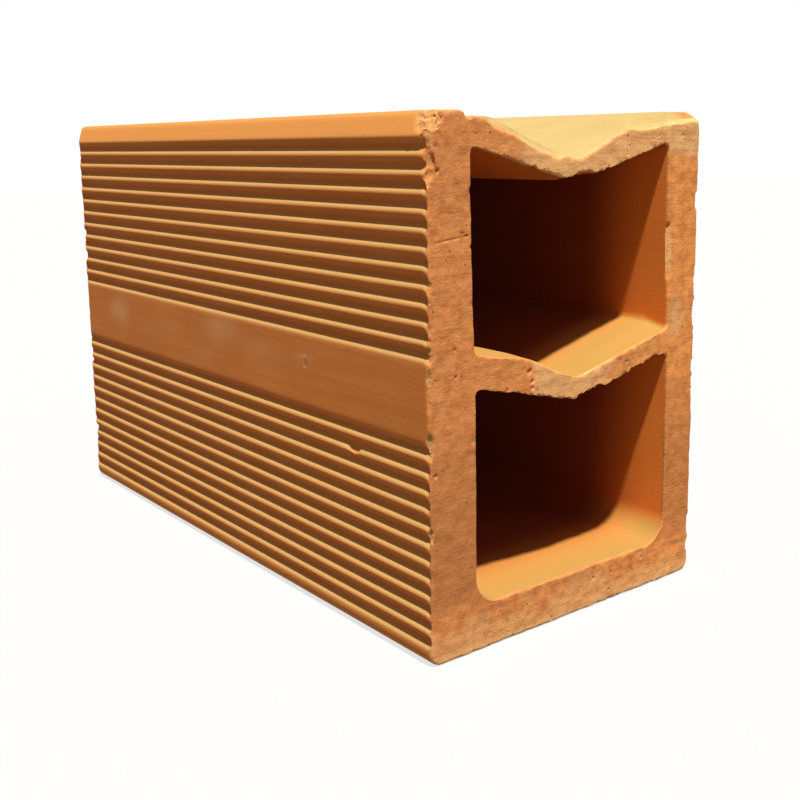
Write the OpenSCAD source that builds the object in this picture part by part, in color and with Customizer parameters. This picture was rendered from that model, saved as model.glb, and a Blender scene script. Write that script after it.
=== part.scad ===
// Hollow clay channel block: one extruded, wire-cut and fired piece with two
// stacked cells, V-shaped webs that break out, and scored side faces.
// X runs along the extrusion, Y across the ribbed sides, Z up.
// The origin is the middle of the bed face.

/* [Block] */
// Length between the two wire-cut ends
length = 290; // [150:1:450]
// Width over the rib crests
width = 140; // [112:1:200]
// Height from the bed to the wall tops
height = 190; // [158:1:240]

/* [Walls and floor] */
// Side wall thickness over the rib crests
wall_t = 19; // [14:0.5:24]
// Floor thickness under the lower cell
floor_t = 17; // [10:0.5:24]
// Height of the lower cell beside the walls
lower_cell_h = 78.7; // [60:0.1:90]
// Radius of the lower cell's floor corners
floor_fillet_r = 11; // [4:0.5:16]
// Radius of the other cell corners
cell_corner_r = 2; // [0.5:0.1:4]

/* [Middle web] */
// Thickness of the middle web beside the walls
mid_root_t = 11; // [8:0.1:18]
// Thickness of the middle web between its sharp valley and keel lines
mid_valley_t = 8.7; // [6:0.1:14]
// Fall of the middle web from the walls to its sharp valley line
mid_fall = 14.1; // [10:0.1:20]
// Radius at the bottom of the middle valley
mid_valley_r = 6; // [2:0.5:16]

/* [Top web] */
// Thickness of the top web beside the walls
top_root_t = 9.7; // [6:0.1:14]
// Thickness of the top web between its sharp valley and keel lines
top_valley_t = 8.2; // [6:0.1:14]
// Fall of the top web from its shoulders to its sharp valley line
top_fall = 15.4; // [8:0.1:18]
// Radius at the bottom of the top valley
top_valley_r = 14; // [2:0.5:20]

/* [Wall tops] */
// Rise of the wall tops above the shoulders
lip_h = 2; // [1:0.1:5]
// Width of each wall top, measured from the rib crests
lip_w = 15; // [10:0.5:18]
// Width of the slope from a wall top down to its shoulder
lip_slope_w = 6; // [4:0.5:8]
// Radius along the top and along the foot of that slope
lip_r = 3; // [0.5:0.5:4]
// Width of the shoulder beside each slope
shoulder_w = 11; // [6:0.5:14]
// Radius where a shoulder turns down to the valley
shoulder_r = 14; // [2:1:25]

/* [Edges] */
// How far the plain band along each wall top leans in
top_lean = 2.2; // [0.5:0.1:4]
// Height over which that band turns from upright into its lean
lean_blend_h = 0.5; // [0.2:0.1:1]
// Radius of the long edges along the wall tops
top_edge_r = 2; // [0.5:0.5:4]
// Radius of the long edges along the bed
bed_edge_r = 5; // [1:0.5:6]
// Radius under both webs along their lowest line
web_keel_r = 18; // [6:0.5:24]

/* [Scored sides] */
// Spacing of the grooves
groove_pitch = 6.2; // [5:0.1:9]
// Depth of a groove below the rib crests
groove_depth = 1.9; // [0.8:0.1:2.4]
// Radius at the bottom of a groove
groove_r = 1.3; // [0.6:0.1:1.4]
// Radius of a rib crest
crest_r = 1; // [0.4:0.1:1.1]
// Plain band along each wall top
top_band_h = 8.5; // [6:0.1:12]
// Plain band along the bed
bed_band_h = 6; // [6:0.1:12]
// Least height of the plain band between the two groups of grooves
mid_band_h = 25; // [10:1:40]

/* [Hidden] */
$fn = 96;

// Length by which a cut runs past the face that it opens
overrun = 5;
// Share of a radius at which a slanted flank starts, a little inside its arc
blend_share = 0.995;

half_w = width / 2;
cell_half_w = half_w - wall_t;

// Heights beside the walls, from the bed up
lower_top_z = floor_t + lower_cell_h;
mid_root_z = lower_top_z + mid_root_t;
shoulder_z = height - lip_h;
upper_top_z = shoulder_z - top_root_t;

// Heights of the sharp valley and keel lines on the middle plane
mid_valley_z = mid_root_z - mid_fall;
mid_keel_z = mid_valley_z - mid_valley_t;
top_valley_z = shoulder_z - top_fall;
top_keel_z = top_valley_z - top_valley_t;

// Half widths across the top, from the wall tops inwards
lip_half_w = half_w - lip_w;
slope_half_w = lip_half_w - lip_slope_w;
trough_half_w = slope_half_w - shoulder_w;

// Whole grooves in each of the two groups that fit between the three plain bands
groove_count = floor((height - mid_band_h - top_band_h - bed_band_h) / 2 / groove_pitch);
group_h = groove_count * groove_pitch;
groove_half = groove_pitch / 2;

function unit(v) = v / norm(v);

// Share of a radius at which a flank in direction d starts
function start_share(d) = d[0] == 0 || d[1] == 0 ? 1 : blend_share;

// Arc of radius r in the corner at point p between the points before and after:
// its centre, the two places where the flanks start, and whether the corner juts out
function corner_arc(before, p, after, r) =
    let (
        a = unit(before - p),
        b = unit(after - p),
        half = acos(a * b) / 2,
        centre = p + unit(a + b) * r / sin(half),
        reach = r / tan(half),
        juts = cross(p - before, after - p) > 0
    )
    [
        centre,
        centre + (p + a * reach - centre) * start_share(a),
        centre + (p + b * reach - centre) * start_share(b),
        juts
    ];

// Flat shape whose corners, listed anticlockwise as [x, y, radius], are true arcs
module round_shape(corners) {
    n = len(corners);
    spots = [for (c = corners) [c[0], c[1]]];
    arcs = [
        for (i = [0 : n - 1])
            corner_arc(spots[(i + n - 1) % n], spots[i], spots[(i + 1) % n], corners[i][2])
    ];
    difference() {
        union() {
            polygon([for (arc = arcs) each [arc[1], arc[2]]]);
            for (i = [0 : n - 1])
                if (arcs[i][3])
                    translate(arcs[i][0])
                        circle(r = corners[i][2]);
        }
        for (i = [0 : n - 1])
            if (!arcs[i][3])
                translate(arcs[i][0])
                    circle(r = corners[i][2]);
    }
}

// Solid outline with rounded long edges; the lean starts where the grooves end
module outline() {
    lean_h = top_band_h - lean_blend_h;
    lean_r = lean_blend_h / tan(atan2(top_lean, lean_h) / 2);
    round_shape([
        [-half_w, 0, bed_edge_r],
        [half_w, 0, bed_edge_r],
        [half_w, height - lean_h, lean_r],
        [half_w - top_lean, height, top_edge_r],
        [top_lean - half_w, height, top_edge_r],
        [-half_w, height - lean_h, lean_r]
    ]);
}

// Trough above the top web, between the wall tops
module trough() {
    round_shape([
        [0, top_valley_z, top_valley_r],
        [trough_half_w, shoulder_z, shoulder_r],
        [slope_half_w, shoulder_z, lip_r],
        [lip_half_w, height, lip_r],
        [lip_half_w, height + overrun + overrun, overrun],
        [-lip_half_w, height + overrun + overrun, overrun],
        [-lip_half_w, height, lip_r],
        [-slope_half_w, shoulder_z, lip_r],
        [-trough_half_w, shoulder_z, shoulder_r]
    ]);
}

// Cell between the two webs
module upper_cell() {
    round_shape([
        [0, mid_valley_z, mid_valley_r],
        [cell_half_w, mid_root_z, cell_corner_r],
        [cell_half_w, upper_top_z, cell_corner_r],
        [0, top_keel_z, web_keel_r],
        [-cell_half_w, upper_top_z, cell_corner_r],
        [-cell_half_w, mid_root_z, cell_corner_r]
    ]);
}

// Cell between the middle web and the floor
module lower_cell() {
    round_shape([
        [-cell_half_w, floor_t, floor_fillet_r],
        [cell_half_w, floor_t, floor_fillet_r],
        [cell_half_w, lower_top_z, cell_corner_r],
        [0, mid_keel_z, web_keel_r],
        [-cell_half_w, lower_top_z, cell_corner_r]
    ]);
}

// One groove with a round bottom between the halves of two round rib crests,
// cut from the side face at zero towards positive values
module groove() {
    bottom_u = groove_depth - groove_r;
    centre_run = norm([crest_r - bottom_u, groove_half]);
    flank = asin((groove_r + crest_r) / centre_run) - atan2(crest_r - bottom_u, groove_half);
    foot = groove_r * blend_share * [cos(flank), sin(flank)];
    brow = crest_r * blend_share * [cos(flank), sin(flank)];
    difference() {
        union() {
            translate([bottom_u, 0])
                circle(r = groove_r);
            polygon([
                [bottom_u + foot[0], foot[1]],
                [crest_r - brow[0], groove_half - brow[1]],
                [0, groove_half],
                [-overrun, groove_half],
                [-overrun, -groove_half],
                [0, -groove_half],
                [crest_r - brow[0], brow[1] - groove_half],
                [bottom_u + foot[0], -foot[1]]
            ]);
        }
        for (side = [-1, 1])
            translate([crest_r, side * groove_half])
                circle(r = crest_r);
    }
}

// Both groups of grooves on the side face at negative width
module scored_side() {
    for (start = [bed_band_h, height - top_band_h - group_h])
        for (i = [0 : groove_count - 1])
            translate([-half_w, start + i * groove_pitch + groove_half])
                groove();
}

// Section that the die gives the clay
module section() {
    difference() {
        outline();
        trough();
        upper_cell();
        lower_cell();
        for (side = [0, 1])
            mirror([side, 0])
                scored_side();
    }
}

module channel_block() {
    color("#C97F45")
        translate([-length / 2, 0, 0])
            rotate([90, 0, 90])
                linear_extrude(length)
                    section();
}

channel_block();
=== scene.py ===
# %% [markdown]
# # A hollow clay channel block
# The object is one piece of terracotta. Clay was pressed through a steel die, the
# bar was cut with a wire, and the cut block was dried and fired. Every surface
# tells which step made it: the long faces are drawn smooth and ribbed by the die,
# the ends are torn rough by the wire, and the corners are broken by handling.
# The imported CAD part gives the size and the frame. The mesh made here takes its
# place and adds what the kiln and the yard gave the block.

# %% Load the frame
import math

import bpy
import numpy as np
from mathutils import Matrix, Vector, kdtree
from mathutils.geometry import delaunay_2d_cdt


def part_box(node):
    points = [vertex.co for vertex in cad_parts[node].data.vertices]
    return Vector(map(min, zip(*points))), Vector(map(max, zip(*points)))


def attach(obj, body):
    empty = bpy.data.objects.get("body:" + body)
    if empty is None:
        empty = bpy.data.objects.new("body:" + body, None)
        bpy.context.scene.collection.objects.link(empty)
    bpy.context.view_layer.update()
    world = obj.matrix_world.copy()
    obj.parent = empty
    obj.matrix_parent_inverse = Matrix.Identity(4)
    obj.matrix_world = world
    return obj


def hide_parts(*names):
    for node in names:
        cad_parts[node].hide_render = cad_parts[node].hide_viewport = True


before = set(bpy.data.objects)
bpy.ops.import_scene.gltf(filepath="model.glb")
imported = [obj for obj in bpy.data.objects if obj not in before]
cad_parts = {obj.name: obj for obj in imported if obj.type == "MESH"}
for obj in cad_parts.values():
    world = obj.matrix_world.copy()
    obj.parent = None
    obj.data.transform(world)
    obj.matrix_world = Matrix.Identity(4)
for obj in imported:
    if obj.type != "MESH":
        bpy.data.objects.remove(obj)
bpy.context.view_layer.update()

MM = 0.001
NODE = "channel_block"
low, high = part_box(NODE)
length, width, height = ((b - a) / MM for a, b in zip(low, high))
print("block", round(length), "x", round(width), "x", round(height), "mm")

# %% [markdown]
# ## The die's section
# The die draws one outline for the whole length, so the mesh is a loft: rings of
# points along X that all follow the same section. A section made of corners with
# a radius each is easier to change than a long list of points, so the outline is
# written that way and its arcs are worked out. Sizes are millimetres in the
# section's plane, Y across and Z up.

# %% Sizes of the section
half_w = width / 2
wall_t = 19.0
floor_t = 17.0
lower_cell_h = 78.7
mid_root_t = 11.0
mid_valley_t = 8.7
mid_fall = 14.1
top_root_t = 9.7
top_valley_t = 8.2
top_fall = 15.4
lip_h = 2.0
lip_w = 15.0
lip_slope_w = 6.0
shoulder_w = 11.0
top_band_h = 8.5
bed_band_h = 6.0
top_lean = 2.2
lean_blend_h = 0.5
print("walls", wall_t, "mm, floor", floor_t, "mm, webs fall", top_fall, "and", mid_fall, "mm")

# %% Radii of its corners
bed_edge_r = 5.0
top_edge_r = 2.0
lip_r = 3.0
shoulder_r = 14.0
top_valley_r = 14.0
mid_valley_r = 6.0
web_keel_r = 18.0
cell_corner_r = 2.0
floor_fillet_r = 11.0
print("corner radii from", min(top_edge_r, cell_corner_r), "to", web_keel_r, "mm")

# %% Heights and half widths
cell_half_w = half_w - wall_t
lower_top_z = floor_t + lower_cell_h
mid_root_z = lower_top_z + mid_root_t
mid_valley_z = mid_root_z - mid_fall
mid_keel_z = mid_valley_z - mid_valley_t
shoulder_z = height - lip_h
upper_top_z = shoulder_z - top_root_t
top_valley_z = shoulder_z - top_fall
top_keel_z = top_valley_z - top_valley_t
lip_half_w = half_w - lip_w
slope_half_w = lip_half_w - lip_slope_w
trough_half_w = slope_half_w - shoulder_w
lean_h = top_band_h - lean_blend_h
print("cells", round(cell_half_w * 2), "mm wide")


# %% Corners of the outline and the cells
def top_half(lean):
    """Corners from a side's upper band to the trough; the band leans in by lean."""
    lean_r = lean_blend_h / math.tan(math.atan2(lean, lean_h) / 2)
    return [
        (half_w, height - lean_h, lean_r),
        (half_w - lean, height, top_edge_r),
        (lip_half_w, height, lip_r),
        (slope_half_w, shoulder_z, lip_r),
        (trough_half_w, shoulder_z, shoulder_r),
    ]


# the far band dried more upright than the near one
far_lean_share = 0.45
outer_corners = [
    (-half_w, 0.0, bed_edge_r),
    (half_w, 0.0, bed_edge_r),
    *top_half(far_lean_share * top_lean),
    (0.0, top_valley_z, top_valley_r),
    *[(-y, z, r) for y, z, r in reversed(top_half(top_lean))],
]
upper_cell_corners = [
    (0.0, mid_valley_z, mid_valley_r),
    (cell_half_w, mid_root_z, cell_corner_r),
    (cell_half_w, upper_top_z, cell_corner_r),
    (0.0, top_keel_z, web_keel_r),
    (-cell_half_w, upper_top_z, cell_corner_r),
    (-cell_half_w, mid_root_z, cell_corner_r),
]
lower_cell_corners = [
    (-cell_half_w, floor_t, floor_fillet_r),
    (cell_half_w, floor_t, floor_fillet_r),
    (cell_half_w, lower_top_z, cell_corner_r),
    (0.0, mid_keel_z, web_keel_r),
    (-cell_half_w, lower_top_z, cell_corner_r),
]
cell_corners = len(upper_cell_corners) + len(lower_cell_corners)
print(len(outer_corners), "corners outside,", cell_corners, "in the cells")

# %% [markdown]
# ## Scored sides
# The ribs give plaster a key. Each groove has a round bottom and each rib a round
# crest, joined by straight flanks. Half a groove is worked out once, from crest to
# bottom, and mirrored and repeated up the side in two groups with a plain band
# between them.

# %% Groove profile
groove_pitch = 6.2
# the ribs dried and wore a little lower and rounder than the die
groove_depth = 1.7
groove_r = 1.3
crest_r = 1.8
groove_count = 12
plain_step = 1.3


def half_groove():
    """Depth and height of points from a rib crest down to the next groove's bottom."""
    bottom = groove_depth - groove_r
    reach = math.hypot(crest_r - bottom, groove_pitch / 2)
    flank = math.asin((groove_r + crest_r) / reach)
    flank -= math.atan2(crest_r - bottom, groove_pitch / 2)
    turns = np.linspace(0, flank, 3)
    top = groove_pitch / 2
    brow = [(crest_r - crest_r * math.cos(t), top - crest_r * math.sin(t)) for t in turns]
    foot = [(bottom + groove_r * math.cos(t), groove_r * math.sin(t)) for t in turns[::-1]]
    return brow + foot


def side_profile():
    """Depth and height of every point on a scored side, from the bed up."""
    down = half_groove()
    groove = [(u, -v) for u, v in down] + [(u, v) for u, v in down[-2::-1]]
    group_h = groove_count * groove_pitch
    points = []
    for start in (bed_band_h, height - top_band_h - group_h):
        for i in range(groove_count):
            middle = start + (i + 0.5) * groove_pitch
            points += [(u, middle + v) for u, v in groove[:-1]]
        if start == bed_band_h:
            band = height - top_band_h - bed_band_h - 2 * group_h
            steps = int(band / plain_step)
            points += [(0.0, start + group_h + band * k / steps) for k in range(steps)]
    return points


print(len(side_profile()), "points on each scored side")

# %% [markdown]
# ## Rings of points
# A ring walks once round the outline or round a cell. Arcs get points about a
# millimetre apart, straight runs get even steps, and the two long upright runs
# take the ribs. Each point also notes how far out on a rib it stands, because
# wear, dust and painted highlight take the crests first, and painted shade the grooves.

# %% Rings of the section
arc_chord = 1.0
run_step = {"outside": 1.6, "upper_cell": 1.0, "lower_cell": 1.0}


def even(number):
    """The next even whole number, so that every second point can be left out further back."""
    return 2 * max(1, math.ceil(number / 2))


def round_corner(before, p, after, radius):
    """Points of the arc that rounds corner p between its neighbours."""
    a = (before - p) / np.linalg.norm(before - p)
    b = (after - p) / np.linalg.norm(after - p)
    half = math.acos(float(a @ b)) / 2
    bisector = (a + b) / np.linalg.norm(a + b)
    centre = p + bisector * radius / math.sin(half)
    spoke = p + a * radius / math.tan(half) - centre
    sweep = math.pi - 2 * half
    arriving, leaving = p - before, after - p
    turn = math.copysign(sweep, arriving[0] * leaving[1] - arriving[1] * leaving[0])
    steps = even(radius * sweep / arc_chord)
    points = []
    for k in range(steps + 1):
        c, s = math.cos(turn * k / steps), math.sin(turn * k / steps)
        points.append(centre + np.array((spoke[0] * c - spoke[1] * s, spoke[0] * s + spoke[1] * c)))
    return points


def ring(name, corners):
    """The outline as points, and how far each one stands out on a rib: 1 on a crest."""
    spots = [np.array(c[:2]) for c in corners]
    rounded = []
    for i, corner in enumerate(corners):
        rounded += round_corner(spots[i - 1], spots[i], spots[(i + 1) % len(spots)], corner[2])
    points, stand = [], []
    for p, q in zip(rounded, rounded[1:] + rounded[:1]):
        points.append(p)
        stand.append(1.0)
        run = float(np.linalg.norm(q - p))
        if name == "outside" and run > height / 2 and abs(p[0] - q[0]) < 1e-6:
            side = math.copysign(1.0, p[0])
            profile = side_profile() if side > 0 else side_profile()[::-1]
            points += [np.array((side * (half_w - u), z)) for u, z in profile]
            stand += [1.0 - u / groove_depth for u, z in profile]
        elif run > 1.2 * arc_chord:
            steps = even(run / run_step[name])
            points += [p + (q - p) * k / steps for k in range(1, steps)]
            stand += [1.0] * (steps - 1)
    turned = 1 if name == "outside" else -1
    return np.array(points)[::turned], np.array(stand)[::turned]


rings = {
    "outside": ring("outside", outer_corners),
    "upper_cell": ring("upper_cell", upper_cell_corners),
    "lower_cell": ring("lower_cell", lower_cell_corners),
}
for name, (points, stand) in rings.items():
    print(name, len(points), "points round")

# %% [markdown]
# ## Noise for many points at once
# No edge of the real block is true. Every lump, bite and worn corner below asks the
# same question: how rough is it here? Blender's noise answers one point at a time.
# A small lattice noise on arrays answers for the whole mesh in one go, and with a
# fixed seed it gives the same block on every run.

# %% Lattice noise
draws = np.random.default_rng(20)
lattice_size = 4096
lattice = draws.uniform(-1.0, 1.0, lattice_size)
shuffle = draws.permutation(lattice_size)


def lumps(points, size, seed=0):
    """Smooth noise from -1 to 1, with lumps about size millimetres across."""
    spot = np.asarray(points, float) / np.asarray(size, float)
    corner_cell = np.floor(spot).astype(int)
    part = spot - corner_cell
    part = part * part * (3 - 2 * part)
    total = np.zeros(len(spot))
    for corner in np.ndindex(2, 2, 2):
        k = corner_cell + corner
        slot = shuffle[(k[:, 0] + 977 * seed) % lattice_size]
        slot = shuffle[(slot + k[:, 1]) % lattice_size]
        slot = shuffle[(slot + k[:, 2]) % lattice_size]
        total += lattice[slot] * np.prod(np.where(corner, part, 1 - part), axis=1)
    return total


def ramp(values, start, stop):
    """0 before start, 1 after stop and a soft rise between them."""
    share = np.clip((values - start) / (stop - start), 0, 1)
    return share * share * (3 - 2 * share)


test = lumps(draws.uniform(0, 50, (2000, 3)), 3.0)
print("noise from", round(test.min(), 2), "to", round(test.max(), 2))

# %% [markdown]
# ## The extruded bar
# Rows of rings run from the front end to the back. They crowd together near both
# ends, where wear and chips need points, and stand well apart in between, where the
# die left the bar straight. The cells keep every point near the front and every
# second one further in. The corners that the wire left sharp have since worn round,
# the cells' edges hardly at all.

# %% Rows along the length
front_x = length / 2
near_rows = np.arange(1.9, 14.5, 0.9)
front_rows = np.concatenate([[0.0, 0.3, 0.7, 1.2], near_rows, np.geomspace(16.0, 26.0, 4)])
back_rows = np.concatenate([[0.0], np.geomspace(0.4, 16.0, 8)])[::-1]
middle_rows = np.linspace(front_rows[-1], length - back_rows[0], 26)[1:-1]
# closer rows where a rib is chipped and where the plain band has a hole
blemish_rows = np.concatenate([np.arange(40.5, 49.0, 2.0), np.arange(73.7, 77.4, 0.9)])
rows = np.sort(np.concatenate([front_rows, middle_rows, blemish_rows, length - back_rows]))
fine_reach = 10.0
print(len(rows), "rows,", int((rows <= fine_reach).sum()), "of them fine")

# %% Wear along the end faces
outer_worn_in, outer_worn_back, bed_worn_back = 0.9, 2.1, 1.6
cell_worn_in, cell_worn_back = 0.35, 0.9


def wear_sizes(name, points):
    """How deep and how far back the edge of an end face is worn, in millimetres."""
    z = points[:, 1]
    if name != "outside":
        return cell_worn_in, np.full(len(z), cell_worn_back)
    back = np.where(z < 2.0, bed_worn_back, outer_worn_back)
    smooth = np.ones(9) / 9
    return outer_worn_in, np.convolve(np.concatenate([back[-4:], back, back[:4]]), smooth, "valid")


def on_ribs(points):
    """Which points lie as far out as the ribs and grooves do."""
    return np.abs(points[:, 0]) > half_w - groove_depth - 0.1


def inward(name, points):
    """Unit steps from the outline into the clay; straight across where the side is scored."""
    along = np.roll(points, -1, axis=0) - np.roll(points, 1, axis=0)
    into = np.stack([-along[:, 1], along[:, 0]], axis=1)
    into /= np.linalg.norm(into, axis=1, keepdims=True)
    if name == "outside":
        y, z = points.T
        scored = on_ribs(points) & (z > bed_band_h) & (z < height - lean_h)
        into[scored] = np.stack([-np.sign(y[scored]), np.zeros(scored.sum())], axis=1)
    return into


for name, (points, stand) in rings.items():
    print(name, "edge worn", wear_sizes(name, points)[0], "mm deep")

# %% [markdown]
# A die's cores never sit quite true, and soft clay sags while it dries. The cells stand
# up to two millimetres off the middle towards the bed, and the middle web hangs lower
# at its far wall. The wire pulled the web down a little more at the front.

# %% Cells out of true
cell_drift = 2.2
web_tilt = 1.5
web_swell = 2.6


def out_of_true(name, yz, back_by):
    """A cell's points moved to where the cores and the drying left them."""
    if name == "outside":
        return yz
    y, z = yz.T
    # the drift grows from the top web down
    moved = y + cell_drift * ramp(-z, -170, -70)
    # the upper cell's floor is the middle web
    on_web = ramp(-z, -124, -112) if name == "upper_cell" else 0.0 * z
    pulled = ramp(back_by, 0.5, 13) * (0.6 * np.exp(-((y + 27) / 16) ** 2) + 1.8 * ramp(y, 2, 34))
    sagged = web_swell * np.exp(-((y + 26) / 12) ** 2) - web_tilt * y / cell_half_w
    return np.column_stack([moved, z + on_web * (pulled + sagged)])


print("cells up to", cell_drift, "mm out of true")

# %% [markdown]
# The wire does one more thing as it leaves the bar: it bends the soft rib ends down and
# smears clay over the ends of the grooves. So a row's points are set in three moves:
# out of true, worn in towards the clay, and dragged with the wire.

# %% Points of one row
skin_wave = 0.05
wear_unevenness = 0.45
wire_drag = 1.5
drag_reach = 3.6
smear = 0.9 * ramp(1.5 - np.minimum(rows, length - rows), 0.1, 1.1)


def row_points(name, pick, row):
    """The picked points of a ring at one row, worn and moved as the real block is."""
    points, stand = rings[name]
    back_by = rows[row]
    yz = points[pick]
    below_crest = 1 - stand[pick]
    worn_in, worn_back = wear_sizes(name, points)
    xyz = np.column_stack([np.full(len(yz), front_x - back_by), out_of_true(name, yz, back_by)])
    inset = skin_wave * (1 + lumps(xyz, (30, 9, 9), 3))
    uneven = 1 + wear_unevenness * lumps(xyz * (0.2, 1, 1), 5.0, 1)
    run = np.clip(1 - min(back_by, length - back_by) / (worn_back[pick] * uneven), 0, 1)
    share = np.minimum(uneven * (1 - np.sqrt(1 - run * run)), 1)
    exposed = 1 - below_crest * (1 - smear[row])
    filled = smear[row] * groove_depth * below_crest
    inset += worn_in * exposed * share - filled
    xyz[:, 1:] += inward(name, points)[pick] * inset[:, None]
    if name == "outside":
        ribbed = on_ribs(yz) * ramp(yz[:, 1], 8, 20) * ramp(-yz[:, 1], -180, -168)
        xyz[:, 2] -= ribbed * wire_drag * max(0.0, 1 - back_by / drag_reach) ** 2
    return xyz


print("grooves smeared in", int((smear > 0).sum()), "rows, rib ends bent over", drag_reach, "mm")


# %% Loft the bar
def strip(near, far):
    """Faces between two rows; triangles where the far row has half as many points."""
    near_next, far_next = np.roll(near, -1), np.roll(far, -1)
    if len(near) == len(far):
        return np.column_stack([near, far, far_next, near_next]).tolist()
    mid = near[1::2]
    made = np.column_stack([near[::2], far, mid]).tolist()
    made += np.column_stack([mid, far, far_next]).tolist()
    made += np.column_stack([mid, far_next, near_next[1::2]]).tolist()
    return made


SKIN, CUT = 0, 1
every_point, every_second = slice(None), slice(None, None, 2)
# depth at which the painted shade in each cell starts, and where it is darkest
shade_from = {"outside": 0, "upper_cell": 12, "lower_cell": 4}
shade_to = 44
# how far the torn cut reaches round an edge, and pale chips into a cell
cut_reach = 0.9
rim_reach = 0.6
vertices, faces, kinds = [], [], []
crest, cell, deep_shade, rim = [], [], [], []
end_loops = {"front": [], "back": []}
count = 0
for name, (points, stand) in rings.items():
    row_ids = []
    for row, back_by in enumerate(rows):
        pick = every_point if name == "outside" or back_by <= fine_reach else every_second
        xyz = row_points(name, pick, row)
        gap = min(back_by, length - back_by)
        in_cell = np.full(len(xyz), float(name != "outside"))
        vertices.append(xyz)
        crest.append(stand[pick])
        cell.append(in_cell)
        deep_shade.append(in_cell * ramp(gap, shade_from[name], shade_to))
        rim.append(in_cell * (gap < rim_reach))
        row_ids.append(np.arange(count, count + len(xyz)))
        count += len(xyz)
    for row, (near, far) in enumerate(zip(row_ids, row_ids[1:])):
        kind = CUT if rows[row] < cut_reach or rows[row + 1] > length - cut_reach else SKIN
        made = strip(near, far)
        faces += made
        kinds += [kind] * len(made)
    end_loops["front"].append(row_ids[0])
    end_loops["back"].append(row_ids[-1])
print(count, "points and", len(faces), "faces on the bar")

# %% [markdown]
# ## The wire-cut ends
# A wire drags through the wet bar and leaves a flat but torn face. An end needs many
# small triangles to carry pits, so the outline and a scatter of points inside it are
# joined by Delaunay triangulation. Extra points go where a pit or a line will be.
# Each mark is a rounded stick of air: every point of the clay that lies within its
# radius is pushed out to its surface. One short function then makes pits, cracks,
# bites from an edge and whole broken corners.

# %% Ways to mark the clay
front, near_side, far_side = front_x, -half_w, half_w
line_step = 0.6
marks = []
extra_points = {"front": [], "back": []}


def mark(start, end, outward, depth, radius, grain=0.0, bare=1.0):
    """A stick of air that sinks depth mm into the clay; grain roughens it, bare shows a fresh break."""
    outward = np.array(outward, float)
    shift = outward / np.linalg.norm(outward) * (radius - depth)
    marks.append((np.array(start, float) + shift, np.array(end, float) + shift, radius, grain, bare))


def pit(end, y, z, radius, depth, to=None):
    """A pit in an end face, or a line when it has a second point, with points to carry it."""
    x, out = (front, 1.0) if end == "front" else (-front, -1.0)
    y2, z2 = to or (y, z)
    mark((x, y, z), (x, y2, z2), (out, 0, 0), depth, radius, bare=0.0)
    steps = max(1, round(math.hypot(y2 - y, z2 - z) / line_step))
    across = math.sqrt(radius ** 2 - (radius - depth) ** 2)
    for k in range(steps + 1 if to else 1):
        cy, cz = y + (y2 - y) * k / steps, z + (z2 - z) * k / steps
        extra_points[end].append((cy, cz))
        for share in (0.55, 1.1):
            for turn in np.linspace(0, 2 * math.pi, 7)[:-1]:
                spot = (cy + share * across * math.cos(turn), cz + share * across * math.sin(turn))
                extra_points[end].append(spot)


def tear(out, y, z, depth, radius, run_back):
    """A furrow along a web's underside, deepest at the end face, where the wire tore clay out."""
    x = out * front
    tail = (x - out * run_back, y, z - depth - 0.3)
    mark((x, y, z), tail, (0, 0, -1), depth, radius, grain=0.35, bare=0.3)


print("the ends to mark stand", round(front), "mm from the middle")

# %% Broken edges of the front end
corner_out = (0.48, -0.65, 0.59)
# the broken corner above the scored side, and the rib ends under it
mark((front, near_side, height), (front, near_side, height), corner_out, 6.4, 40, 3.0)
mark((front, near_side, 182), (front, near_side, 170), (0.75, -0.65, 0.1), 2.6, 6, 1.8, 0.15)
# the worn end of the far wall's top, and a nick beside the near one
mark((front, 33, 186.5), (front, 76, 191), (0.42, 0, 0.9), 3.6, 16, 0.4, 0.0)
mark((front, -51.5, 188.2), (front - 6, -51.5, 190.5), (0, 0, 1), 1.8, 2.4, 0.3, 0.3)
# the worn front edge of the trough beside the near shoulder
mark((front, -37, 186.8), (front, -9, 176.4), (0.5, 0, 0.87), 3.0, 10, 0.5, 0.1)
# torn undersides of both webs: place, depth, radius and how far back each tear runs
top_tears = [(-3.5, 165.0, 2.2, 3.0, 16), (0, 164.6, 3.1, 3.4, 20), (3.2, 165.0, 3.8, 4.0, 22),
             (6.6, 166.0, 2.8, 3.2, 15), (9.4, 166.8, 1.4, 2.2, 12)]
for y, z, depth, radius, run_back in top_tears:
    tear(1.0, y, z, depth, radius, run_back)
for y, z in ((3.5, 84.6), (6.8, 85.3), (10.0, 86.0), (13.2, 86.8)):
    tear(1.0, y, z, 1.9, 2.8, 30)
# broken inner edges of the walls
mark((front, 52, 146), (front, 52, 145), (0.7, -0.7, 0.15), 1.3, 2.0, 0.3, 0.0)
mark((front, 52.2, 144), (front, 52.5, 127), (0.8, -0.6, 0.0), 0.9, 6.0, 0.15, 0.0)
mark((front, -cell_half_w, 163.7), (front, -cell_half_w, 163.2), (0.7, 0.7, 0.1), 0.9, 1.7, 0.2)
print(len(marks), "broken edges")

# %% Blemishes placed one by one
# a bite where the plain band meets the near edge, and a chip from a rib below it
mark((front, near_side, 81), (front, near_side, 76), (0.8, -0.6, 0.0), 1.7, 3.2, 0.4)
mark((98.5, near_side, 70.5), (102, near_side, 69.5), (0, -1, 0.2), 2.0, 2.4, 0.4, 0.0)
# a hole in the plain band where a lime grain burst
mark((69.5, near_side, 96.4), (69.5, near_side, 96.6), (0, -1, 0), 0.7, 1.2, 0.1, 0.0)
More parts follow.
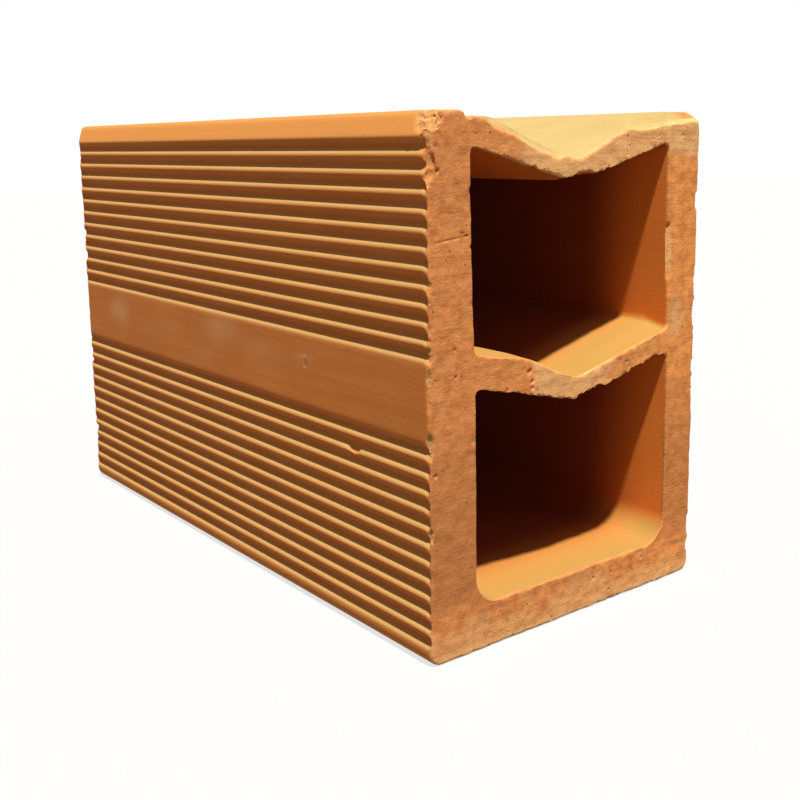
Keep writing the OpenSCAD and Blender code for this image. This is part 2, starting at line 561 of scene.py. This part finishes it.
# pits in the front end by place, radius and depth, then two cracks and a scratch
pits = [(-65.5, 170.3, 1.0, 0.9), (-58.5, 110.7, 0.9, 0.8), (-58.1, 101.4, 0.9, 0.8),
        (-23.5, 98.5, 1.3, 1.2), (-22.1, 94.7, 1.0, 0.9), (-22.1, 92.3, 0.9, 0.8),
        (34.3, 17.4, 1.0, 0.9), (11.6, 11.5, 0.8, 0.7), (-67.1, 68.6, 1.0, 0.9)]
for y, z, radius, depth in pits:
    pit("front", y, z, radius, depth)
pit("front", 27.0, 180.4, 0.5, 0.45, to=(27.0, 173.9))
pit("front", -66.5, 147.0, 0.8, 0.45, to=(-52.5, 148.6))
pit("front", 13.9, 13.4, 0.4, 0.35, to=(13.8, 4.2))
print(len(marks), "marks placed by eye")

# %% Tears and chips left to chance
chance = np.random.default_rng(41)


def web_edge(y, wall_z, middle_z):
    """Height of a web's underside at y, from its heights at the wall and in the middle."""
    return middle_z + (wall_z - middle_z) * abs(y) / cell_half_w


for x, out in ((front, 1.0), (-front, -1.0)):
    for i in range(34):
        y = chance.uniform(-48, 48)
        z = web_edge(y, lower_top_z, mid_keel_z)
        tear(out, y, z, chance.uniform(0.4, 1.5), chance.uniform(1.6, 3.2), chance.uniform(6, 26))
    for i in range(12):
        y = chance.uniform(-48, 48)
        z = web_edge(y, upper_top_z, top_keel_z)
        tear(out, y, z, chance.uniform(0.3, 0.9), chance.uniform(1.2, 2.4), chance.uniform(5, 14))
    # chips along the upright outer edges, the bed and the cells' upright edges
    for i in range(34):
        side = chance.choice((-1.0, 1.0))
        radius = chance.uniform(1.2, 2.8)
        z = chance.uniform(3, height - 14)
        end_spot = (x, side * half_w, z + chance.uniform(0, 4))
        mark((x, side * half_w, z), end_spot, (0.7 * out, 0.7 * side, 0.1), 0.7 * radius, radius, 0.4)
    for i in range(18):
        y = chance.uniform(-half_w, half_w)
        radius = chance.uniform(0.8, 2.0)
        end_spot = (x, y + chance.uniform(-3, 3), 0)
        mark((x, y, 0), end_spot, (0.7 * out, 0, -0.7), 0.65 * radius, radius, 0.4)
    for i in range(16):
        side = chance.choice((-1.0, 1.0))
        radius = chance.uniform(0.6, 1.5)
        z = chance.choice((chance.uniform(26, 92), chance.uniform(112, 174)))
        spot = (x, side * cell_half_w, z)
        mark(spot, spot, (0.7 * out, -0.7 * side, 0.1), 0.45 * radius, radius, 0.2)
print(len(marks), "marks with tears and chips")

# %% Pits and crumbs left to chance
for end, number in (("front", 70), ("back", 40)):
    for i in range(number):
        radius = chance.uniform(0.4, 0.8)
        pit(end, chance.uniform(-half_w, half_w), chance.uniform(0, height), radius, 0.8 * radius)
# the ragged near edge of the plain band
for i in range(14):
    z = chance.uniform(80, 108)
    radius = chance.uniform(0.7, 1.5)
    end_spot = (front, near_side, z + chance.uniform(0, 2))
    mark((front, near_side, z), end_spot, (0.7, -0.7, 0), 0.75 * radius, radius, 0.3, 0.1)
# small holes left by grains that fell out of the broken corner
for i in range(26):
    spot = np.array((front, near_side, height)) + chance.uniform((-12, 1, -14), (0, 9, 0))
    mark(spot, spot, corner_out, 0.0, chance.uniform(0.6, 1.3), 0.2, 0.0)
print(len(marks), "marks in all")

# %% Points inside an end
fill_step = {"front": 0.95, "back": 1.8}


def in_clay(points, loops):
    """Which points lie between the outer outline and the cells, by counting crossings."""
    y, z = points.T
    odd = np.zeros(len(points), bool)
    for loop in loops:
        for (y1, z1), (y2, z2) in zip(loop, np.roll(loop, -1, axis=0)):
            if z1 != z2:
                crosses = (z1 > z) != (z2 > z)
                odd ^= crosses & (y < y1 + (z - z1) * (y2 - y1) / (z2 - z1))
    return odd


def scatter(end, loops):
    """Points inside the end face: a shaken triangular grid, and the marks' own points."""
    step = fill_step[end]
    ys, zs = np.meshgrid(np.arange(-half_w, half_w, step), np.arange(0, height, step * 0.866))
    ys[1::2] += step / 2
    grid = np.column_stack([ys.ravel(), zs.ravel()])
    grid += chance.uniform(-0.2, 0.2, grid.shape) * step
    edge = np.concatenate(loops)
    tree = kdtree.KDTree(len(edge))
    for i, (y, z) in enumerate(edge):
        tree.insert((y, z, 0), i)
    tree.balance()
    kept = []
    for points, clear in ((grid, 0.5 * step), (np.array(extra_points[end]), 0.3)):
        points = points[in_clay(points, loops)]
        away = np.array([tree.find((y, z, 0))[2] for y, z in points])
        kept.append(points[away > clear])
    return np.concatenate(kept)


print("points", fill_step["front"], "mm apart on the front end,", fill_step["back"], "mm on the back")

# %% Fill the ends
bar = np.concatenate(vertices)
for end, out in (("front", 1), ("back", -1)):
    loops = [bar[ids, 1:] for ids in end_loops[end]]
    inner = scatter(end, loops)
    flat = np.concatenate(loops + [inner])
    ids = np.concatenate(end_loops[end] + [np.arange(count, count + len(inner))])
    edges, first = [], 0
    for loop in loops:
        n = len(loop)
        edges += [(first + i, first + (i + 1) % n) for i in range(n)]
        first += n
    made = delaunay_2d_cdt([Vector(p) for p in flat], edges, [], 0, 1e-7)
    source = np.array([used[0] for used in made[3]])
    triangles = source[np.array(made[2])]
    triangles = triangles[in_clay(flat[triangles].mean(axis=1), loops)]
    vertices.append(np.column_stack([np.full(len(inner), out * front_x), inner]))
    for shares, value in ((crest, 1.0), (cell, 0.0), (deep_shade, 0.0), (rim, 0.0)):
        shares.append(np.full(len(inner), value))
    count += len(inner)
    faces += ids[triangles[:, ::out]].tolist()
    kinds += [CUT] * len(triangles)
    print(end, "end:", len(triangles), "triangles on", len(flat), "points")

# %% [markdown]
# First the whole end is torn a little uneven. Then each mark pushes out the points that
# it covers. How deep a point was pushed also says how bare it is: a fresh break shows
# pale, crumbly clay and holds no dust or painted highlight.

# %% Press the marks into the clay
torn_reach = 4.0
full_break = 0.6
clay = np.concatenate(vertices)
for out in (1, -1):
    gap = front_x - out * clay[:, 0]
    coarse, fine = lumps(clay * (0, 1, 1), 7.0, 5), lumps(clay * (0, 1, 1), 2.2, 6)
    torn = 0.14 * (1 + coarse) + 0.1 * (1 + fine)
    clay[:, 0] -= out * torn * np.clip(1 - gap / torn_reach, 0, 1)

# the cells' edges are chipped pale in places
bare = 0.5 * np.concatenate(rim) * np.clip(0.5 + 1.2 * lumps(clay, 5.0, 15), 0, 1)
# dust and painted highlight lie on what stands out, so a fresh break loses its place on a crest
stand_out = np.concatenate(crest)
for head, tail, radius, grain, bare_share in marks:
    run = tail - head
    share = np.clip((clay - head) @ run / max(run @ run, 1e-9), 0, 1)
    away = clay - (head + share[:, None] * run)
    dist = np.linalg.norm(away, axis=1)
    near = np.nonzero(dist < radius + 2 * grain)[0]
    if len(near) == 0:
        continue
    spot = clay[near]
    reach = radius + grain * (0.65 * lumps(spot, 3.4, 8) + 0.5 * lumps(spot, 1.5, 9))
    hit = dist[near] < reach
    ids = near[hit]
    sunk = reach[hit] - dist[ids]
    clay[ids] += away[ids] / dist[ids][:, None] * sunk[:, None]
    fresh = np.clip(sunk / full_break, 0, 1)
    bare[ids] = np.maximum(bare[ids], bare_share * fresh)
    stand_out[ids] *= 1 - fresh
# wear only takes clay away, so nothing may end up outside the block's own box
clay = np.clip(clay, (-front_x, near_side, 0), (front_x, far_side, height))
front_edge = clay[np.concatenate(end_loops["front"]), 0]
print("front edge broken back by up to", round(front_x - front_edge.min(), 1), "mm")

# %% [markdown]
# ## Lime bloom
# Salts come to the surface as the clay dries, and leave pale clouds on the plain band
# between the ribs. The clouds are few and soft, so each point of the mesh can carry
# its share as an attribute, which the skin's material reads.

# %% Bloom on the plain band
clay_x, clay_y, clay_z = clay.T
bloom = np.zeros(len(clay))
# place, width, height and strength; the last is the pale ring round the hole
bloom_spots = [(-104, 97, 8, 7, 0.65), (-60, 93, 16, 5, 0.15), (3, 101, 11, 6, 0.6),
               (-14, 86, 7, 6, 0.3), (40, 96, 18, 5, 0.15), (69.5, 98.6, 1.6, 1.3, 1.6)]
for x, z, wide, tall, strength in bloom_spots:
    spread = ((clay_x - x) / wide) ** 2 + ((clay_z - z) / tall) ** 2
    bloom += strength * np.exp(-spread) * (0.75 + 0.5 * lumps(clay, 9.0, 12))
bloom = np.clip(bloom, 0, 1) * (np.abs(clay_y) > half_w - 1.5)
print(len(bloom_spots), "spots of bloom on each side")

# %% [markdown]
# ## Clay folded in the press
# The press folds lighter and redder clay together, and the wire lays the folds open.
# The end shows them as patches with a fairly sharp border: the middle web is red left
# of a seam and sandy right of it, and the top of the far wall is sandy too. The lower
# half is a little darker. Each point carries its share of both.

# %% Sandy clay on the ends
wavy = 3.0 * lumps(clay, 8.0, 21)
between_walls = np.abs(clay_y) < cell_half_w - 1
on_mid_web = between_walls & (clay_z > 76) & (clay_z < 112)
on_top_web = between_walls & (clay_z > 158)
in_seam = ramp(clay_y + 0.3 * wavy, -24, -20) * (1 - 0.8 * ramp(clay_y + wavy, 8, 28))
sandy = np.full(len(clay), 0.12)
sandy = np.where(on_mid_web, 0.1 + 0.75 * in_seam, sandy)
sandy = np.where(on_top_web, 0.2 + 0.65 * ramp(clay_y + 0.4 * wavy, -31, -24), sandy)
# the top of the far wall and the strip along the bed
sandy = np.maximum(sandy, 0.95 * ramp(clay_z + wavy, 169, 176) * ramp(clay_y, 40, 52))
sandy = np.maximum(sandy, 0.55 * ramp(-clay_z + 2 * wavy, -15, -8) + 0.45 * ramp(-clay_z, -4, -1))
# a pale flake on the far cell edge, and a pale patch below it
for y, z, wide, tall, share in ((52.4, 136, 1.8, 9, 1.0), (58, 110, 6, 7, 0.7)):
    spread = ((clay_y - y + 0.2 * wavy) / wide) ** 2 + ((clay_z - z + wavy) / tall) ** 2
    sandy = np.maximum(sandy, share * np.exp(-spread * spread))
# the end is a little darker low down, though not along the bed
low_darkening = 0.5 * ramp(-clay_z + wavy, -100, -50) * ramp(clay_z + wavy, 12, 24)
print("sandy clay on", round(100 * float((sandy > 0.5).mean())), "percent of the points")

# %% [markdown]
# ## One closed mesh
# The bands along the wall tops and the bed are brighter by painted light: a painted
# highlight on the upper bands and painted bounce light from the floor on the bed bands.
# That share joins the others as an attribute, and the points and faces become one mesh,
# closed all round, that rides on the part's only body.

# %% Make the mesh
out_y = np.abs(clay_y)
band_foot = height - top_band_h
# painted highlight on the upper bands
lit_top_band = ramp(out_y, half_w - 4, half_w - 3) * ramp(clay_z, band_foot - 0.8, band_foot + 0.6)
# painted bounce light from the floor on the bed bands
bounce_lit_bed = ramp(out_y, half_w - 6, half_w - 4) * ramp(-clay_z, -5, -1.5)
point_shares = {
    "bare": bare,
    "bloom": bloom,
    "sandy": sandy,
    "low_darkening": low_darkening,
    "painted_edge_light": np.maximum(lit_top_band, bounce_lit_bed),
    "crest": stand_out,
    "cell": np.concatenate(cell),
    "deep_shade": np.concatenate(deep_shade),
}
mesh = bpy.data.meshes.new("clay_block")
mesh.from_pydata((clay * MM).tolist(), [], faces)
mesh.polygons.foreach_set("material_index", kinds)
mesh.polygons.foreach_set("use_smooth", [True] * len(faces))
for name, values in point_shares.items():
    mesh.attributes.new(name, "FLOAT", "POINT").data.foreach_set("value", values.astype(np.float32))
mesh.set_sharp_from_angle(angle=math.radians(50))
mesh.update()
block = bpy.data.objects.new("clay_block", mesh)
bpy.context.scene.collection.objects.link(block)
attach(block, "root")
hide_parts(NODE)
uses = np.zeros(len(mesh.edges), int)
np.add.at(uses, [loop.edge_index for loop in mesh.loops], 1)
loose = len(mesh.vertices) - len({loop.vertex_index for loop in mesh.loops})
triangle_count = sum(len(f) - 2 for f in faces)
print(triangle_count, "triangles,", int((uses != 2).sum()), "open edges,", loose, "loose points")

# %% [markdown]
# ## Materials
# The block is one material, terracotta, with two surfaces. The die polished the long
# faces into a fine tight skin with faint lines along the draw. The wire tore the ends
# open, so they show grit, pores and patches. Both start from a fired-clay orange and
# are almost without gloss. Patterns use object coordinates, so a size in millimetres
# on the block is a size in the material.

# %% Helpers for materials
# sockets of a node that mixes colours: its share, the two colours and the mixture
FACTOR, FIRST, SECOND, MIXED = 0, 6, 7, 2


def linear(code):
    """A colour written as sRGB hex, as the linear numbers that shaders use."""
    parts = [int(code[i:i + 2], 16) / 255 for i in (1, 3, 5)]
    return (*[p / 12.92 if p <= 0.04045 else ((p + 0.055) / 1.055) ** 2.4 for p in parts], 1.0)


def per_mm(size):
    """The texture scale whose features are about size millimetres across."""
    return 1 / (size * MM)


def add(tree, kind, inputs=None, out=0, **settings):
    """Add a node and give one of its sockets; an input is a number, a hex colour or a socket."""
    made = tree.nodes.new("ShaderNode" + kind)
    for key, value in settings.items():
        setattr(made, key, value)
    for key, value in (inputs or {}).items():
        if isinstance(value, bpy.types.NodeSocket):
            tree.links.new(value, made.inputs[key])
        else:
            made.inputs[key].default_value = linear(value) if isinstance(value, str) else value
    return made.outputs[out] if made.outputs else None


def new_material(name):
    """An empty material and its node tree."""
    material = bpy.data.materials.new(name)
    material.use_nodes = True
    material.node_tree.nodes.clear()
    return material, material.node_tree


print("a pattern of 1 mm has scale", round(per_mm(1)))

# %% [markdown]
# ### Extruded skin
# Fired clay drawn through a die is matt and close-grained. The eye sees a warm orange
# with slow cloudy changes over some centimetres, fine lines along the draw, a sandy
# grain, and a pale colour on what faces the sky, partly dust and partly painted
# highlight. In the cells that pale colour lies only towards the front end. Painted shade
# darkens the grooves, the cells' undersides and the cells deeper in.

# %% Patterns of the skin
skin, tree = new_material("terracotta_extruded_skin")
place = add(tree, "TexCoord", out="Object")
drawn = add(tree, "Mapping", {"Vector": place, "Scale": (0.025, 1, 1)})
clouds = add(tree, "TexNoise", {"Vector": place, "Scale": per_mm(34), "Detail": 3.0}, "Fac")
lines = add(tree, "TexNoise", {"Vector": drawn, "Scale": per_mm(1.5), "Detail": 3.0}, "Fac")
sand = add(tree, "TexNoise", {"Vector": place, "Scale": per_mm(0.9), "Detail": 2.0}, "Fac")
cloudy = add(tree, "MapRange", {"Value": clouds, "From Min": 0.35, "From Max": 0.68})
lined = add(tree, "MapRange", {"Value": lines, "From Min": 0.35, "From Max": 0.75})
grainy = add(tree, "MapRange", {"Value": sand, "From Min": 0.3, "From Max": 0.7})
share_of = {}
for name in ("bare", "bloom", "painted_edge_light", "crest", "cell", "deep_shade"):
    share_of[name] = add(tree, "Attribute", out="Fac", attribute_name=name)
print(len(tree.nodes), "nodes for the skin's patterns")

# %% Fired clay, outside and in the cells, with painted shade
warm = add(tree, "Mix", {FACTOR: cloudy, FIRST: "#D87C34", SECOND: "#E18740"}, MIXED, data_type="RGBA")
streaked = add(tree, "Mix", {FACTOR: lined, FIRST: warm, SECOND: "#D27931"}, MIXED, data_type="RGBA")
bloomed = add(tree, "Mix", {FACTOR: share_of["bloom"], FIRST: streaked, SECOND: "#EDB07C"}, MIXED,
              data_type="RGBA")
# painted shade: the cells' clay turns darker deeper in from the ends
cell_clay_shaded = add(tree, "Mix", {FACTOR: share_of["deep_shade"], FIRST: "#F0852F", SECOND: "#8F3B0C"}, MIXED,
           data_type="RGBA")
inside = add(tree, "Mix", {FACTOR: share_of["cell"], FIRST: bloomed, SECOND: cell_clay_shaded}, MIXED,
             data_type="RGBA")
# painted shade darkens the grooves' hollows a little
groove_shade_share = add(tree, "MapRange", {
    "Value": share_of["crest"], "From Min": 0.75, "From Max": 0.2, "To Max": 0.15})
groove_shaded = add(tree, "Mix", {FACTOR: groove_shade_share, FIRST: inside, SECOND: "#A05A22"}, MIXED, data_type="RGBA")
# painted shade on the cells' undersides, darker and redder
facing = add(tree, "SeparateXYZ", {0: add(tree, "NewGeometry", out="Normal")}, "Z")
downward = add(tree, "MapRange", {"Value": facing, "From Min": 0.0, "From Max": -0.5})
underside_shade_share = add(tree, "Math", {0: downward, 1: share_of["cell"]}, operation="MULTIPLY")
shaded = add(tree, "Mix", {FACTOR: underside_shade_share, FIRST: groove_shaded, SECOND: "#C46208"}, MIXED, data_type="RGBA")
print(len(tree.nodes), "nodes with the fired colours")

# %% Dust and painted highlight on what faces the sky
skyward = add(tree, "MapRange", {"Value": facing, "From Min": 0.02, "From Max": 0.5})
on_crest = add(tree, "MapRange", {"Value": share_of["crest"], "From Min": -0.2, "From Max": 0.7})
# dust and painted highlight keep out of the cells' painted deep shade
outside_deep_shade = add(tree, "Math", {0: 1.0, 1: share_of["deep_shade"]}, operation="SUBTRACT")
reached = add(tree, "Math", {0: on_crest, 1: outside_deep_shade}, operation="MULTIPLY")
skyward_crest_share = add(tree, "Math", {0: skyward, 1: reached}, operation="MULTIPLY")
along = add(tree, "SeparateXYZ", {0: place}, "X")
frontward = add(tree, "MapRange", {"Value": along, "From Min": -90 * MM, "From Max": 20 * MM})
outdoors = add(tree, "Math", {0: 1.0, 1: share_of["cell"]}, operation="SUBTRACT")
front_or_outdoors = add(tree, "Math", {0: frontward, 1: outdoors}, operation="MAXIMUM")
dust_and_highlight_share = add(tree, "Math", {0: skyward_crest_share, 1: front_or_outdoors}, operation="MULTIPLY")
# pale yellow on what faces up: partly dust, partly painted highlight
dust_and_highlight = add(tree, "Mix", {FACTOR: share_of["cell"], FIRST: "#CF9F5D", SECOND: "#BD8C43"}, MIXED,
           data_type="RGBA")
with_dust_and_highlight = add(tree, "Mix", {FACTOR: dust_and_highlight_share, FIRST: shaded, SECOND: dust_and_highlight}, MIXED, data_type="RGBA")
print(len(tree.nodes), "nodes with the dust")

# %% Trough and wall tops bleached by rain, with painted highlight
level = add(tree, "SeparateXYZ", {0: place}, "Z")
on_top = add(tree, "MapRange", {"Value": level, "From Min": 168 * MM, "From Max": 171 * MM})
sideways = add(tree, "SeparateXYZ", {0: place}, "Y")
offset = add(tree, "Math", {0: sideways}, operation="ABSOLUTE")
between = add(tree, "MapRange", {
    "Value": offset, "From Min": 58 * MM, "From Max": 65 * MM, "To Min": 1.0, "To Max": 0.0})
upper = add(tree, "Math", {0: on_top, 1: between}, operation="MULTIPLY")
# up-facing tops paler: partly bleaching, partly painted highlight
bleached_and_lit = add(tree, "Math", {0: skyward, 1: upper}, operation="MULTIPLY")
faded_and_lit = add(tree, "Mix", {FACTOR: cloudy, FIRST: "#BA9E5E", SECOND: "#C6AC6E"}, MIXED, data_type="RGBA")
wiped_and_lit = add(tree, "Mix", {FACTOR: lined, FIRST: faded_and_lit, SECOND: "#C3A062"}, MIXED, data_type="RGBA")
aged_and_lit = add(tree, "Mix", {FACTOR: bleached_and_lit, FIRST: with_dust_and_highlight, SECOND: wiped_and_lit}, MIXED, data_type="RGBA")
print(len(tree.nodes), "nodes with the bleached top")

# %% Painted light on the long edges, and broken places
topmost = add(tree, "MapRange", {"Value": facing, "From Min": 0.5, "From Max": 0.85})
# colour of the painted edge light, by how far the surface faces up
edge_light_colour = add(tree, "Mix", {FACTOR: topmost, FIRST: "#F4A04E", SECOND: "#D88C44"}, MIXED, data_type="RGBA")
with_edge_light = add(tree, "Mix", {FACTOR: share_of["painted_edge_light"], FIRST: aged_and_lit, SECOND: edge_light_colour}, MIXED,
              data_type="RGBA")
crumb_colours = {FIRST: "#C98648", SECOND: "#DEA264"}
crumbs = add(tree, "Mix", {FACTOR: grainy, **crumb_colours}, MIXED, data_type="RGBA")
broken = add(tree, "Mix", {FACTOR: share_of["bare"], FIRST: with_edge_light, SECOND: crumbs}, MIXED,
             data_type="RGBA")
print(len(tree.nodes), "nodes with wear")

# %% Terracotta, extruded skin
dull = add(tree, "MapRange", {"Value": sand, "To Min": 0.82, "To Max": 0.98})
drawn_bump = add(tree, "Bump", {"Height": lined, "Distance": 0.05 * MM, "Strength": 0.3})
sand_bump = add(tree, "Bump", {
    "Height": grainy, "Normal": drawn_bump, "Distance": 0.08 * MM, "Strength": 0.4})
crumb_relief = 0.12 * MM
crumb_bump = add(tree, "Bump", {
    "Height": grainy, "Normal": sand_bump, "Distance": crumb_relief, "Strength": share_of["bare"]})
shader = add(tree, "BsdfPrincipled", {
    "Base Color": broken, "Roughness": dull, "Normal": crumb_bump, "IOR": 1.5, "Specular IOR Level": 0.3})
add(tree, "OutputMaterial", {"Surface": shader})
mesh.materials.append(skin)
print(skin.name, len(tree.nodes), "nodes")

# %% [markdown]
# ### Wire-cut face
# The wire opens the clay's inside: grit, pores, and bands of lighter and redder clay
# that the press folded together. It drags grains along with it and leaves faint level
# scratches. Where a corner broke after firing, the face is crumbly and sandy.

# %% Patterns of the cut
cut, tree = new_material("terracotta_wire_cut")
place = add(tree, "TexCoord", out="Object")
dragged = add(tree, "Mapping", {"Vector": place, "Scale": (1, 0.07, 1)})
folds = add(tree, "TexNoise", {"Vector": place, "Scale": per_mm(46), "Detail": 3.0}, "Fac")
mottle = add(tree, "TexNoise", {
    "Vector": place, "Scale": per_mm(4.5), "Detail": 5.0, "Roughness": 0.62}, "Fac")
scratch = add(tree, "TexNoise", {"Vector": dragged, "Scale": per_mm(1.6), "Detail": 2.0}, "Fac")
grit = add(tree, "TexNoise", {"Vector": place, "Scale": per_mm(0.9), "Detail": 2.0}, "Fac")
pore = add(tree, "TexVoronoi", {"Vector": place, "Scale": per_mm(5.5)}, "Distance")
folded = add(tree, "MapRange", {"Value": folds, "From Min": 0.42, "From Max": 0.62})
mottled = add(tree, "MapRange", {"Value": mottle, "From Min": 0.42, "From Max": 0.7, "To Max": 0.8})
scratched = add(tree, "MapRange", {"Value": scratch, "From Min": 0.5, "From Max": 0.72, "To Max": 0.35})
gritty = add(tree, "MapRange", {"Value": grit, "From Min": 0.3, "From Max": 0.7})
porous = add(tree, "MapRange", {
    "Value": pore, "From Min": 0.05, "From Max": 0.12, "To Min": 0.75, "To Max": 0.0})
share_of = {}
for name in ("bare", "sandy", "low_darkening"):
    share_of[name] = add(tree, "Attribute", out="Fac", attribute_name=name)
print(len(tree.nodes), "nodes for the cut's patterns")

# %% Colours of the cut
sideways = add(tree, "SeparateXYZ", {0: place}, "Y")
# the end is a little lighter towards the far side
toward_far_side = add(tree, "MapRange", {"Value": sideways, "From Min": -60 * MM, "From Max": 55 * MM})
red_clay = add(tree, "Mix", {FACTOR: toward_far_side, FIRST: "#E58D4C", SECOND: "#FA9A4C"}, MIXED,
               data_type="RGBA")
clay_colour = add(tree, "Mix", {FACTOR: share_of["sandy"], FIRST: red_clay, SECOND: "#F8BC7A"}, MIXED,
                  data_type="RGBA")
clouded = add(tree, "Mix", {FACTOR: folded, FIRST: "#D27C3C", SECOND: "#BE682E"}, MIXED, data_type="RGBA")
# sandy clay is more even than red clay
even_clay = add(tree, "MapRange", {"Value": share_of["sandy"], "To Min": 1.0, "To Max": 0.35})
blotched = add(tree, "Math", {0: mottled, 1: even_clay}, operation="MULTIPLY")
patched = add(tree, "Mix", {FACTOR: blotched, FIRST: clay_colour, SECOND: clouded}, MIXED,
              data_type="RGBA")
combed = add(tree, "Mix", {FACTOR: scratched, FIRST: patched, SECOND: "#B96A30"}, MIXED, data_type="RGBA")
# darker towards the bottom of the end
darkened = add(tree, "Mix", {FACTOR: share_of["low_darkening"], FIRST: combed, SECOND: "#B06B38"}, MIXED,
               data_type="RGBA")
pitted = add(tree, "Mix", {FACTOR: porous, FIRST: darkened, SECOND: "#8A4A20"}, MIXED, data_type="RGBA")
crumbs = add(tree, "Mix", {FACTOR: gritty, **crumb_colours}, MIXED, data_type="RGBA")
broken = add(tree, "Mix", {FACTOR: share_of["bare"], FIRST: pitted, SECOND: crumbs}, MIXED,
             data_type="RGBA")
print(len(tree.nodes), "nodes with the cut's colours")

# %% Terracotta, wire cut
dull = add(tree, "MapRange", {"Value": grit, "To Min": 0.85, "To Max": 1.0})
drag_bump = add(tree, "Bump", {"Height": scratch, "Distance": 0.25 * MM, "Strength": 0.4})
mottle_bump = add(tree, "Bump", {
    "Height": mottle, "Normal": drag_bump, "Distance": 0.7 * MM, "Strength": 0.5})
grit_bump = add(tree, "Bump", {
    "Height": gritty, "Normal": mottle_bump, "Distance": 0.15 * MM, "Strength": 0.4})
crumb_bump = add(tree, "Bump", {
    "Height": gritty, "Normal": grit_bump, "Distance": crumb_relief, "Strength": share_of["bare"]})
shader = add(tree, "BsdfPrincipled", {
    "Base Color": broken, "Roughness": dull, "Normal": crumb_bump, "IOR": 1.5, "Specular IOR Level": 0.25})
add(tree, "OutputMaterial", {"Surface": shader})
mesh.materials.append(cut)
print(cut.name, len(tree.nodes), "nodes")

# %% [markdown]
# ## Floor and light
# The studio is a pale floor under a white sky. The camera and mirror rays see both as
# plain white; other rays get a weaker fill, so the grooves stay dark. One lamp far off
# and high in front throws the hard-edged shadows that fall into the cells.


# %% Floor
def seen_directly(tree):
    """1 for rays that look or mirror, 0 for rays that only carry light."""
    looking = add(tree, "LightPath", out="Is Camera Ray")
    glossy, passing = (looking.node.outputs[ray] for ray in ("Is Glossy Ray", "Is Transmission Ray"))
    mirrored = add(tree, "Math", {0: glossy, 1: passing}, operation="MAXIMUM")
    return add(tree, "Math", {0: looking, 1: mirrored}, operation="MAXIMUM")


floor_half = 4.0
floor_corners = [(-floor_half, -floor_half, 0), (floor_half, -floor_half, 0),
                 (floor_half, floor_half, 0), (-floor_half, floor_half, 0)]
floor_mesh = bpy.data.meshes.new("floor")
floor_mesh.from_pydata(floor_corners, [], [(0, 1, 2, 3)])
floor = bpy.data.objects.new("floor", floor_mesh)
bpy.context.scene.collection.objects.link(floor)
paper, tree = new_material("white_paper_floor")
matt = add(tree, "BsdfDiffuse", {"Color": "#6E6C68"})
glow_level = add(tree, "Math", {0: seen_directly(tree), 1: 0.74}, operation="MULTIPLY")
glow = add(tree, "Emission", {"Color": "#FFFFFF", "Strength": glow_level})
add(tree, "OutputMaterial", {"Surface": add(tree, "AddShader", {0: matt, 1: glow})})
floor_mesh.materials.append(paper)
print("floor", 2 * floor_half, "m wide")

# %% Sky and lamp
fill = 0.2
world = bpy.data.worlds.new("studio")
bpy.context.scene.world = world
world.use_nodes = True
tree = world.node_tree
tree.nodes.clear()
sky_level = add(tree, "MapRange", {"Value": seen_directly(tree), "To Min": fill, "To Max": 1.0})
sky = add(tree, "Background", {"Color": "#FFFFFF", "Strength": sky_level})
add(tree, "OutputWorld", {"Surface": sky})

lamp_data = bpy.data.lights.new("key", "SUN")
lamp_data.energy = 5.1
lamp_data.angle = math.radians(2.5)
lamp = bpy.data.objects.new("key", lamp_data)
bpy.context.scene.collection.objects.link(lamp)
toward_lamp = Vector((1.0, -0.5, 2.84))
lamp.rotation_euler = toward_lamp.to_track_quat("Z", "Y").to_euler()
lamp_rise = math.atan2(toward_lamp.z, math.hypot(toward_lamp.x, toward_lamp.y))
print("key lamp", round(math.degrees(lamp_rise)), "degrees up")

# %% [markdown]
# ## Camera
# The camera stands in front of the near edge, a little below the block's top. A camera
# is placed here by the directions of its own axes: forward from its heading and pitch,
# then right and up, turned by a slight roll. Those three axes are the columns of its
# matrix, which is easier to follow than three angles in the right order.

# %% Camera
heading, pitch, roll = math.radians(37.698), math.radians(9.362), math.radians(-0.823)
level_run = math.cos(pitch)
forward = Vector((-math.cos(heading) * level_run, math.sin(heading) * level_run, -math.sin(pitch)))
level_right = Vector((math.sin(heading), math.cos(heading), 0))
level_up = level_right.cross(forward)
right = level_right * math.cos(roll) + level_up * math.sin(roll)
up = right.cross(forward)
camera_data = bpy.data.cameras.new("camera")
camera_data.sensor_width = 36.0
camera_data.lens = 48.784
camera_data.shift_y = -0.1
camera_data.clip_start = 0.01
camera = bpy.data.objects.new("camera", camera_data)
bpy.context.scene.collection.objects.link(camera)
camera_place = Vector((415.5, -290.7, 180.0)) * MM
axes = Matrix((right, up, -forward)).transposed().to_4x4()
camera.matrix_world = Matrix.Translation(camera_place) @ axes
bpy.context.scene.camera = camera
bpy.context.scene.view_settings.view_transform = "Standard"
print("camera", round(camera_place.length, 2), "m from the middle of the bed")
